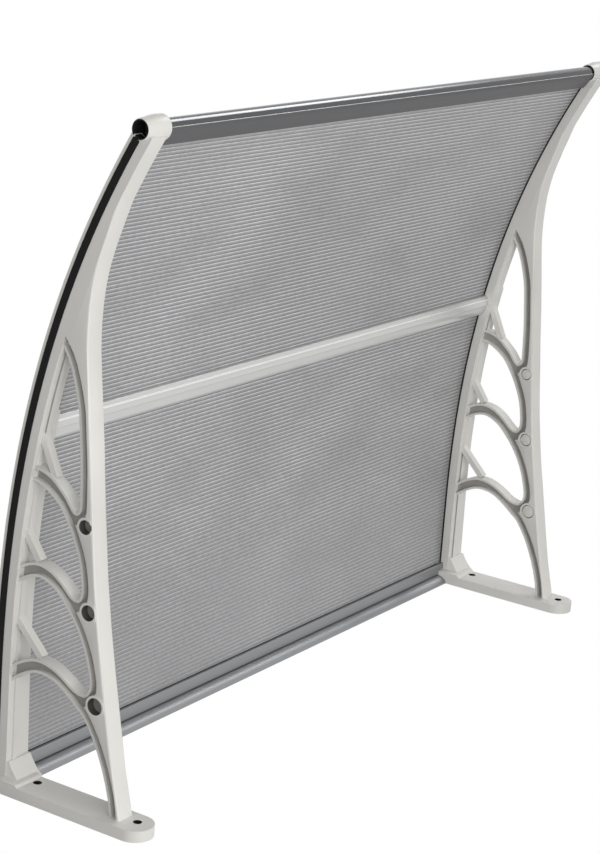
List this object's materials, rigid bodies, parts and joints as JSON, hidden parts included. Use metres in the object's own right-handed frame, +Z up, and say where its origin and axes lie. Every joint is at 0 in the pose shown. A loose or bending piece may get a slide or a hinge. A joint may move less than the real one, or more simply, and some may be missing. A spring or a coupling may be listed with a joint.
{
  "type": "door canopy",
  "caption": "Curved twin-wall sheet canopy on two openwork plastic wall brackets, with metal edge profiles and a cross bar under the sheet.",
  "frame": {"origin": "on the wall plane, at the middle of the rear profile's back, which is level with the foot of the sheet", "axes": "+Y into the wall, so the canopy reaches out along -Y; +Z up; +X to the right for someone facing the wall"},
  "size_m": [1.0098, 0.763, 0.2183],
  "materials": {
    "bracket_plastic": "satin, warm light grey",
    "twin_wall_grey": "translucent smoke grey with fine flutes",
    "dark_anodised": "dark grey, satin",
    "light_aluminium": "light, satin"
  },
  "bodies": {
    "root": {"left_bracket": "bracket_plastic", "right_bracket": "bracket_plastic", "polycarbonate_sheet": "twin_wall_grey", "front_profile": "dark_anodised", "rear_profile": "dark_anodised", "middle_bar": "light_aluminium"}
  },
  "joints": []
}
